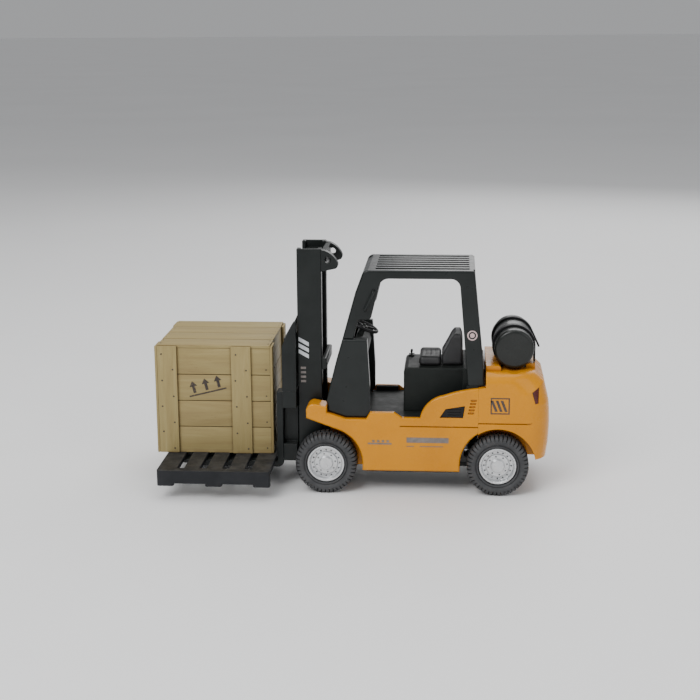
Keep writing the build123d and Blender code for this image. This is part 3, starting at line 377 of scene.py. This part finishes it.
STENCIL = ink("stencil_ink", (0.018, 0.012, 0.010), (0.045, 0.030, 0.022), 0.9, (0.30, 0.21, 0.12))
MARK_DARK = ink("mark_dark", (0.035, 0.025, 0.020), (0.075, 0.055, 0.045), 0.35, (0.45, 0.20, 0.02))
MARK_GREY = ink("mark_grey", (0.12, 0.105, 0.10), (0.20, 0.175, 0.165), 0.25, (0.50, 0.26, 0.06))
MARK_PALE = ink("mark_pale", (0.50, 0.52, 0.55), (0.68, 0.70, 0.72), 0.25, (0.12, 0.12, 0.13))
MARK_ROSE = ink("mark_rose", (0.50, 0.36, 0.36), (0.66, 0.50, 0.50), 0.3, (0.10, 0.07, 0.07))

BY_SLOT = {
    "body_paint": PAINT, "trim_black": TRIM, "cab_black": CAB, "seat_black": SEAT, "guard_black": GUARD,
    "mast_black": MAST, "pallet_black": PALLET, "tank_grey": TANK, "lamp_red": LENS, "rim_silver": RIM,
    "tyre": TYRE, "steel": STEEL, "rod_chrome": CHROME, "crate_wood": WOOD,
}
SLOT_OF = {row["node"]: row["material_slot"] for row in frame["record"]["subparts"]}


def repaint_cad():
    """Every CAD node takes the procedural material of its slot."""
    for name, obj in NODES.items():
        obj.data.materials.clear()
        obj.data.materials.append(BY_SLOT[SLOT_OF[name]])


repaint_cad()


# ---- mesh pieces ------------------------------------------------------------------------------
def piece(name, bm, mat, body, smooth=True):
    """Turn a bmesh into a piece that rides on a body; returns its object."""
    bmesh.ops.recalc_face_normals(bm, faces=bm.faces)
    mesh = bpy.data.meshes.new(name)
    bm.to_mesh(mesh)
    bm.free()
    mesh.materials.append(mat)
    if smooth:
        mesh.shade_smooth()
        mesh.set_sharp_from_angle(angle=SHARP_ANGLE)
    obj = bpy.data.objects.new(name, mesh)
    SCENE.collection.objects.link(obj)
    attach(obj, body)
    return obj


def rounded_block(bm, low, high, radius, cuts):
    """Fill an empty bmesh with a closed block that has rounded edges and corners; returns its vertices."""
    bmesh.ops.create_cube(bm, size=2.0)
    bmesh.ops.subdivide_edges(bm, edges=bm.edges[:], cuts=cuts, use_grid_fill=True)
    verts = bm.verts[:]
    middle, half = (low + high) / 2, (high - low) / 2
    for v in verts:
        p = Vector(c * h for c, h in zip(v.co, half))
        inner = Vector(max(radius - h, min(h - radius, c)) for c, h in zip(p, half))
        away = p - inner
        v.co = middle + inner + (away.normalized() * radius if away.length > 1e-9 else away)
    return verts


def on_circle(share, radius, x=0.0, z=0.0):
    """Point at a share of a full turn round (x, z)."""
    angle = 2 * math.pi * share
    return x + radius * math.cos(angle), z + radius * math.sin(angle)


def lathe(bm, profile, centre, steps, turn):
    """Ring about the Y axis through centre from closed (y, r) points.

    turn(k) gives step k's share of a full turn and a function that changes a point's radius there.
    """
    rings = []
    for k in range(steps):
        share, shape = turn(k)
        ring = []
        for y, r in profile:
            x, z = on_circle(share, shape(y, r), centre.x, centre.z)
            ring.append(bm.verts.new((x, y, z)))
        rings.append(ring)
    count = len(profile)
    for k in range(steps):
        a, b = rings[k], rings[(k + 1) % steps]
        for i in range(count):
            j = (i + 1) % count
            bm.faces.new((a[i], a[j], b[j], b[i]))


# ---- tyres ------------------------------------------------------------------------------------
LUGS = 44
GROOVE_DEPTH = 0.85 * MM
BEAD_R = 9.25 * MM
TREAD_BAND = 1.5 * MM
CENTRE_GROOVE = 0.4 * MM
GROOVE_FROM, GROOVE_TO = 0.04, 0.26
# shares of one lug's pitch at which the tread steps up or down
STATIONS = (0.00, 0.05, 0.25, 0.30, 0.50, 0.55, 0.75, 0.80)


def make_tyre(node, body):
    """Block-tread tyre with a stepped side wall, in the space of its CAD solid."""
    low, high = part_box(node)
    centre = (low + high) / 2
    radius = (high.z - low.z) / 2
    half = (high.y - low.y) / 2
    # in millimetres, from the outer bead up the side wall: (inset from the side, rise above the bead),
    # (inset from the side, drop below the tread), (distance from the middle plane, drop below the tread)
    bead = [(0.9, 0.0), (0.45, 0.3), (0.3, 0.8), (0.75, 1.1), (0.5, 1.5), (0.05, 2.3), (0.0, 3.2)]
    shoulder = [(0.2, 1.35), (0.55, 0.75), (1.15, 0.25), (2.0, 0.04)]
    crown = [(1.2, 0.0), (0.45, 0.02), (0.3, 0.7)]
    side = [(half - inset * MM, BEAD_R + rise * MM) for inset, rise in bead]
    side += [(half - inset * MM, radius - drop * MM) for inset, drop in shoulder]
    side += [(y * MM, radius - drop * MM) for y, drop in crown]
    profile = [(centre.y + y, r) for y, r in side] + [(centre.y - y, r) for y, r in reversed(side)]

    def turn(k):
        lug, part = divmod(k, len(STATIONS))
        share = STATIONS[part]

        def shape(y, r):
            if r < radius - TREAD_BAND or abs(y - centre.y) < CENTRE_GROOVE:
                return r
            phase = share if y > centre.y else (share + 0.5) % 1.0
            return r - GROOVE_DEPTH if GROOVE_FROM < phase < GROOVE_TO else r

        return (lug + share) / LUGS, shape

    bm = bmesh.new()
    lathe(bm, profile, centre, LUGS * len(STATIONS), turn)
    tyre = piece(node + "_tread", bm, TYRE, body)
    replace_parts(tyre, node)


for axle in ("front", "rear"):
    for hand in ("left", "right"):
        make_tyre(f"{axle}_tyre_{hand}", f"{axle}_wheels")


# ---- crate ------------------------------------------------------------------------------------
BATTEN = 1.2 * MM
BATTEN_WIDTH = 9.6 * MM
BATTEN_SOFT = 0.3 * MM
REAR_INSET = 9.3 * MM
BOARD = 1.6 * MM
BUTT = 0.05 * MM
ROWS = 4
GAP = 0.28 * MM
SMALL_NAIL = 0.36 * MM
NAIL_SINK = 0.06 * MM
LID_NAIL_SINK = 0.10 * MM
LID_NAIL_INSET = 1.2 * MM
CORNER_NAIL_INSET = 2.0 * MM
BATTEN_SHORT = 0.6 * MM
CRATE_SEED = 11
BOX_LOW, CRATE_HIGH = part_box("crate_box")
LID_Z = CRATE_HIGH.z
CRATE_LOW = Vector((BOX_LOW.x, BOX_LOW.y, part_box("crate_base")[0].z))
PANEL_LOW = CRATE_LOW + Vector((BATTEN, BATTEN, 0))
PANEL_HIGH = CRATE_HIGH - Vector((BATTEN, BATTEN, 0))


def board(bm, layer, low, high, along, rng, soft=0.22 * MM):
    """One board with softened edges and its own place in the grain, which runs along an axis number."""
    made = bmesh.ops.create_cube(bm, size=1.0)["verts"]
    size, middle = high - low, (low + high) / 2
    for v in made:
        v.co = Vector(c * s for c, s in zip(v.co, size)) + middle
    edges = list({e for v in made for e in v.link_edges})
    cut = bmesh.ops.bevel(bm, geom=edges, offset=soft, segments=2, affect="EDGES", profile=0.6)
    verts = {v for v in made if v.is_valid} | set(cut["verts"])
    others = [i for i in range(3) if i != along]
    start = Vector((rng.uniform(0, 3), rng.uniform(0, 3), rng.uniform(0, 3)))
    for v in verts:
        rel = v.co - middle
        v[layer] = Vector((rel[along], rel[others[0]], rel[others[1]])) + start


def nail(bm, at, out, radius=0.42 * MM):
    """Low domed nail head on a board's face."""
    side = out.orthogonal().normalized()
    other = out.cross(side)
    rings = [(1.0, -0.05), (1.0, 0.05), (0.8, 0.13), (0.4, 0.18)]
    steps = 12
    loops = []
    for r, height in rings:
        spots = [on_circle(k / steps, radius * r) for k in range(steps)]
        loops.append([bm.verts.new(at + side * u + other * v + out * height * MM) for u, v in spots])
    for a, b in zip(loops, loops[1:]):
        for k in range(steps):
            bm.faces.new((a[k], a[(k + 1) % steps], b[(k + 1) % steps], b[k]))
    bm.faces.new(loops[0])
    bm.faces.new(loops[-1])


def row_span(start, step, row):
    """Low and high side of one of ROWS boards laid edge to edge, with half a gap at each joint."""
    low = start + step * row + (GAP / 2 if row else 0)
    high = start + step * (row + 1) - (GAP / 2 if row < ROWS - 1 else 0)
    return low, high


def wall_boards(bm, layer, rng, step):
    """The four walls, row by row; long boards run past the ends of the short ones."""
    for row in range(ROWS):
        z0, z1 = row_span(CRATE_LOW.z, step, row)
        near_y, far_y = PANEL_LOW.y, PANEL_HIGH.y - BOARD
        sink = rng.uniform(0.0, 0.12) * MM
        board(bm, layer, Vector((PANEL_LOW.x, near_y + sink, z0)),
              Vector((PANEL_HIGH.x, near_y + BOARD, z1)), 0, rng)
        sink = rng.uniform(0.0, 0.12) * MM
        board(bm, layer, Vector((PANEL_LOW.x, far_y, z0)),
              Vector((PANEL_HIGH.x, far_y + BOARD - sink, z1)), 0, rng)
        end_y0, end_y1 = PANEL_LOW.y + BOARD + BUTT, PANEL_HIGH.y - BOARD - BUTT
        board(bm, layer, Vector((PANEL_LOW.x + BUTT, end_y0, z0)),
              Vector((PANEL_LOW.x + BOARD, end_y1, z1)), 1, rng)
        board(bm, layer, Vector((PANEL_HIGH.x - BOARD, end_y0, z0)),
              Vector((PANEL_HIGH.x - BUTT, end_y1, z1)), 1, rng)


def lid_boards(bm, layer, rng, step):
    """Lid boards side by side, each a little uneven in height."""
    for row in range(ROWS):
        drop = rng.uniform(0.0, 0.15) * MM
        y0, y1 = row_span(PANEL_LOW.y, step, row)
        board(bm, layer, Vector((PANEL_LOW.x, y0, LID_Z - BOARD)),
              Vector((PANEL_HIGH.x, y1, LID_Z - (drop if row else 0))), 0, rng)


def side_battens(bm, layer, nails, rng, step, top):
    """Two upright battens on each long side, with two nails into every board."""
    for x0 in (PANEL_LOW.x + REAR_INSET, PANEL_HIGH.x - BATTEN_WIDTH):
        for y0, out in ((CRATE_LOW.y, -1), (PANEL_HIGH.y, 1)):
            board(bm, layer, Vector((x0, y0, CRATE_LOW.z)), Vector((x0 + BATTEN_WIDTH, y0 + BATTEN, top)), 2,
                  rng, BATTEN_SOFT)
            face_y = y0 + BATTEN if out > 0 else y0
            for row in range(ROWS):
                for across, up in ((7.4, 0.80), (2.1, 0.18)):
                    at = Vector((x0 + across * MM, face_y, CRATE_LOW.z + step * (row + up)))
                    stray = Vector((rng.uniform(-0.25, 0.25), 0, rng.uniform(-0.3, 0.3))) * MM
                    nail(nails, at + stray, Vector((0, out, 0)))


def end_battens(bm, layer, nails, rng, step, top):
    """Corner battens across both end walls; those in front lap over the side boards' ends."""
    for x0, lap, out in ((CRATE_LOW.x, 0.0, -1), (PANEL_HIGH.x, BATTEN, 1)):
        right = (PANEL_LOW.y - lap, PANEL_LOW.y + BATTEN_WIDTH)
        left = (PANEL_HIGH.y - BATTEN_WIDTH, PANEL_HIGH.y + lap)
        for y0, y1 in (right, left):
            board(bm, layer, Vector((x0, y0, CRATE_LOW.z)), Vector((x0 + BATTEN, y1, top)), 2, rng,
                  BATTEN_SOFT)
            face_x = x0 + BATTEN if out > 0 else x0
            for row in range(ROWS):
                for across, up in ((0.74, 0.80), (0.26, 0.18)):
                    at = Vector((face_x, y0 + (y1 - y0) * across, CRATE_LOW.z + step * (row + up)))
                    nail(nails, at, Vector((out, 0, 0)))


def make_crate():
    """Planks, battens and nails in the space of the CAD crate."""
    rng = random.Random(CRATE_SEED)
    bm = bmesh.new()
    layer = bm.verts.layers.float_vector.new("grain")
    nails = bmesh.new()
    wall_top = LID_Z - BOARD - BUTT
    batten_top = LID_Z - BATTEN_SHORT
    step = (wall_top - CRATE_LOW.z) / ROWS
    lid_step = (PANEL_HIGH.y - PANEL_LOW.y) / ROWS
    wall_boards(bm, layer, rng, step)
    lid_boards(bm, layer, rng, lid_step)
    side_battens(bm, layer, nails, rng, step, batten_top)
    # nails at the rear corner of each side board
    for y0, out in ((PANEL_LOW.y, -1), (PANEL_HIGH.y, 1)):
        for row in range(ROWS):
            nail_z = CRATE_LOW.z + step * (row + 0.2)
            at = Vector((PANEL_LOW.x + CORNER_NAIL_INSET, y0 - out * NAIL_SINK, nail_z))
            nail(nails, at, Vector((0, out, 0)), SMALL_NAIL)
    end_battens(bm, layer, nails, rng, step, batten_top)
    # lid nails into the end walls
    for x0 in (PANEL_LOW.x + LID_NAIL_INSET, PANEL_HIGH.x - LID_NAIL_INSET):
        for row in range(ROWS):
            for share in (0.25, 0.75):
                at = Vector((x0, PANEL_LOW.y + lid_step * (row + share), LID_Z - LID_NAIL_SINK))
                nail(nails, at, Vector((0, 0, 1)), SMALL_NAIL)
    crate = piece("crate_boards", bm, WOOD, "crate")
    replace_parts(crate, "crate_box")
    piece("crate_nails", nails, NAIL, "crate")


make_crate()


# ---- seat -------------------------------------------------------------------------------------
CUSHION_ROUND, BACK_ROUND = 1.7 * MM, 1.5 * MM
SEAT_CUTS = 23
BOLSTER_SLOPE = 0.16
# height share, and the middle and half thickness of the seat back there in millimetres
BACK_PROFILE = ((0.0, -48.8, 5.1), (0.31, -48.8, 5.1), (0.69, -50.4, 3.5), (0.84, -50.8, 2.8),
                (1.0, -51.3, 1.6))


def between(table, at):
    """A table row's values at a height share, linearly between the rows around it."""
    for low, high in zip(table, table[1:]):
        if at <= high[0]:
            break
    share = min(1.0, max(0.0, (at - low[0]) / (high[0] - low[0])))
    return [a + (b - a) * share for a, b in zip(low[1:], high[1:])]


def grooves(at, places, width):
    """How deep a point lies in pressed channels at the given places, 1 in the middle of one."""
    return sum(math.exp(-((at - place) / width) ** 2) for place in places)


def bolster_rise(across, start):
    """0 in the middle of the seat, rising to 1 on its side bolsters."""
    return max(0.0, min(1.0, (abs(across) - start) / BOLSTER_SLOPE))


def make_seat():
    """Seat cushion and back with side bolsters and pressed channels."""
    low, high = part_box("seat_cushion")
    bm = bmesh.new()
    for v in rounded_block(bm, low, high - Vector((0, 0, 0.5 * MM)), CUSHION_ROUND, SEAT_CUTS):
        u = (v.co.x - (low.x + high.x) / 2) / ((high.x - low.x) / 2)
        w = (v.co.y - (low.y + high.y) / 2) / ((high.y - low.y) / 2)
        top = max(0.0, (v.co.z - (low.z + high.z) / 2) / ((high.z - low.z) / 2))
        bolster = 0.9 * bolster_rise(w, 0.52)
        channel = grooves(u, (-0.45, 0.0, 0.45), 0.045) if abs(w) < 0.56 else 0.0
        v.co.z += top * MM * (bolster - 0.45 - 0.35 * channel + 0.25 * (1 - w * w))
        v.co.z = min(v.co.z, high.z)
    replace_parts(piece("seat_cushion_form", bm, SEAT, "truck"), "seat_cushion")

    low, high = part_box("seat_back")
    height = high.z - low.z
    half = (high.x - low.x) / 2
    bm = bmesh.new()
    for v in rounded_block(bm, Vector((-half, low.y, 0)), Vector((half, high.y, height)), BACK_ROUND,
                           SEAT_CUTS):
        t = v.co.z / height
        w = v.co.y / ((high.y - low.y) / 2)
        s = v.co.x / half
        bolster = bolster_rise(w, 0.5)
        channel = grooves(t, (0.42, 0.60, 0.78), 0.03) if abs(w) < 0.54 else 0.0
        middle, thick = between(BACK_PROFILE, t)
        v.co.x = (middle + s * thick) * MM + max(0.0, s) * MM * (0.5 * bolster - 0.55 - 0.3 * channel)
        v.co.y *= 1.0 - 0.10 * t ** 3
        v.co.z += low.z
    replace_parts(piece("seat_back_form", bm, SEAT, "truck"), "seat_back")


make_seat()


# ---- marks: plain shapes where a real one would carry print -----------------------------------
MARK_LIFT, MARK_SINK = 0.04 * MM, 0.02 * MM


def mark(name, shapes, face_y, mat, body):
    """Thin plates on a side face at face_y; shapes are (x, z) outlines in millimetres."""
    out = 1 if face_y > 0 else -1
    bm = bmesh.new()
    for outline in shapes:
        near = [bm.verts.new((x * MM, face_y + out * MARK_LIFT, z * MM)) for x, z in outline]
        far = [bm.verts.new((x * MM, face_y - out * MARK_SINK, z * MM)) for x, z in outline]
        bm.faces.new(near)
        bm.faces.new(far)
        for k in range(len(outline)):
            j = (k + 1) % len(outline)
            bm.faces.new((near[k], near[j], far[j], far[k]))
    piece(name, bm, mat, body, smooth=False)


def bar(x0, x1, z0, z1, lean=0.0):
    """Parallelogram; lean shifts its far end in Z."""
    return [(x0, z0), (x1, z0 + lean), (x1, z1 + lean), (x0, z1)]


def tilted(shapes, centre, degrees):
    """The (u, v) shapes turned about centre, with u running towards -X."""
    c, s = math.cos(math.radians(degrees)), math.sin(math.radians(degrees))
    x, z = centre
    return [[(x - (u * c - v * s), z + (u * s + v * c)) for u, v in shape] for shape in shapes]


def ring_outline(cx, cz, r, steps=28):
    """Round outline."""
    return [on_circle(k / steps, r, cx, cz) for k in range(steps)]


def ring_segments(cx, cz, r0, r1, steps=32):
    """A flat ring as quads side by side."""
    inner = ring_outline(cx, cz, r0, steps)
    outer = ring_outline(cx, cz, r1, steps)
    return [[inner[k], outer[k], outer[(k + 1) % steps], inner[(k + 1) % steps]] for k in range(steps)]


# outlines on the truck's sides, in millimetres along X and Z
BARS = [bar(19.9, 24.8, z, z + 1.9, 2.7) for z in (63.3, 66.3, 69.3)]
TICKS = [bar(21.4, 23.9, z, z + 1.1) for z in (51.5, 53.7, 55.9, 58.1)]
STRIPE = [bar(-47.6, -27.6, 25.6, 28.2), bar(-31.2, -27.6, 23.6, 24.0), bar(-45.0, -34.0, 23.6, 24.0)]
STEP = [bar(-20.5, -9.1, 24.5, 25.3)] + [bar(-19.3 + 2.3 * i, -18.1 + 2.3 * i, 25.6, 26.7) for i in range(4)]
PLATE = [bar(-76.2, -67.2, 47.6, 48.2), bar(-76.2, -67.2, 40.2, 40.8), bar(-76.2, -75.6, 40.8, 47.6),
         bar(-67.8, -67.2, 40.8, 47.6)]
SLASHES = [[(x, 41.5), (x + 1.3, 41.5), (x + 3.4, 46.9), (x + 2.1, 46.9)] for x in (-75.2, -72.9, -70.6)]
RING_X, RING_Z = -58.2, 77.4
RING = ring_segments(RING_X, RING_Z, 1.8, 2.4) + [ring_outline(RING_X, RING_Z, 1.1)]
for hand in ("left", "right"):
    outer_end = 1 if hand == "left" else 0
    mast_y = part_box(f"mast_channel_{hand}")[outer_end].y
    side_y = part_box("body_shell")[outer_end].y
    guard_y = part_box(f"guard_frame_{hand}")[outer_end].y
    mark(f"mast_bars_{hand}", BARS, mast_y, MARK_PALE, "truck")
    mark(f"mast_ticks_{hand}", TICKS, mast_y, MARK_GREY, "truck")
    mark(f"side_stripe_{hand}", STRIPE, side_y, MARK_GREY, "truck")
    mark(f"side_step_{hand}", STEP, side_y, MARK_GREY, "truck")
    mark(f"hazard_plate_{hand}", PLATE + SLASHES, side_y, MARK_DARK, "truck")
    mark(f"pillar_ring_{hand}", RING, guard_y, MARK_ROSE, "truck")

ARROW = [(-1.9, 0.7), (-0.7, 0.7), (-0.7, -2.6), (0.7, -2.6), (0.7, 0.7), (1.9, 0.7), (0, 3.3)]
ARROW_STEP = 6.2
UNDERLINE = bar(-9.4, 9.4, -4.2, -3.5)
STENCIL_AT, STENCIL_TURN = (70.8, 49.0), 14.0
ARROWS = [[(u + shift, v) for u, v in ARROW] for shift in (-ARROW_STEP, 0.0, ARROW_STEP)]
mark("crate_arrows", tilted(ARROWS + [UNDERLINE], STENCIL_AT, STENCIL_TURN), PANEL_HIGH.y, STENCIL, "crate")


# ---- edges of the CAD solids ------------------------------------------------------------------
WELD_GAP = 0.002 * MM
FLAT_ANGLE = math.radians(0.8)
BEVEL_ANGLE = math.radians(40)


def soften(names, width):
    """Real rounded edges on hard-edged CAD solids: weld, merge flat faces, then bevel."""
    for name in names:
        obj = NODES[name]
        weld = obj.modifiers.new("weld", "WELD")
        weld.merge_threshold = WELD_GAP
        flat = obj.modifiers.new("flat", "DECIMATE")
        flat.decimate_type = "DISSOLVE"
        flat.angle_limit = FLAT_ANGLE
        bevel = obj.modifiers.new("bevel", "BEVEL")
        bevel.width = width
        bevel.segments = 2
        bevel.limit_method = "ANGLE"
        bevel.angle_limit = BEVEL_ANGLE
        bevel.use_clamp_overlap = True
        normal = obj.modifiers.new("normals", "WEIGHTED_NORMAL")
        normal.keep_sharp = False


SOFT_EDGES = ("pallet", "carriage", "load_backrest", "fork_left", "fork_right",
              "mast_channel_left", "mast_channel_right", "mast_tie", "mast_foot", "mast_head",
              "dashboard", "engine_hood", "cab_tub", "tank_strap_left", "tank_strap_right")
soften(SOFT_EDGES, 0.25 * MM)


# ---- studio -----------------------------------------------------------------------------------
FLOOR_HALF = 40.0
LIGHT_TARGET = Vector((-0.01, 0.0, 0.05))
# name, place, side and power of each square lamp
LAMPS = (("key", (0.45, 0.75, 0.85), 0.6, 9.5), ("fill", (-0.8, 0.7, 0.5), 0.8, 2.6),
         ("top", (0.0, -0.1, 1.0), 0.9, 5.0), ("back", (-0.3, -0.9, 0.6), 0.8, 3.5))
SKY_COLOUR, SKY_STRENGTH = (0.92, 0.93, 0.95, 1.0), 0.42


def make_floor():
    """Plain pale floor."""
    bm = bmesh.new()
    corners = ((-1, -1), (1, -1), (1, 1), (-1, 1))
    bm.faces.new([bm.verts.new((x * FLOOR_HALF, y * FLOOR_HALF, 0)) for x, y in corners])
    mesh = bpy.data.meshes.new("floor")
    bm.to_mesh(mesh)
    bm.free()
    s = Shader("floor_pale")
    s.set(Base_Color=s.tones(s.noise(3.0, 3.0), (0.3, (0.88, 0.88, 0.88)), (0.7, (0.91, 0.91, 0.91))),
          Roughness=s.span(s.noise(40.0), 0.3, 0.7, 0.55, 0.65))
    mesh.materials.append(s.mat)
    floor = bpy.data.objects.new("floor", mesh)
    SCENE.collection.objects.link(floor)


def make_lights():
    """Large soft lamps and an even sky."""
    for name, at, size, power in LAMPS:
        data = bpy.data.lights.new(name, "AREA")
        data.shape = "SQUARE"
        data.size = size
        data.energy = power
        lamp = bpy.data.objects.new(name, data)
        lamp.location = at
        lamp.rotation_mode = "QUATERNION"
        lamp.rotation_quaternion = (LIGHT_TARGET - Vector(at)).to_track_quat("-Z", "Y")
        SCENE.collection.objects.link(lamp)
    world = bpy.data.worlds.new("studio")
    world.use_nodes = True
    backdrop = world.node_tree.nodes["Background"]
    backdrop.inputs["Color"].default_value = SKY_COLOUR
    backdrop.inputs["Strength"].default_value = SKY_STRENGTH
    SCENE.world = world


make_floor()
make_lights()
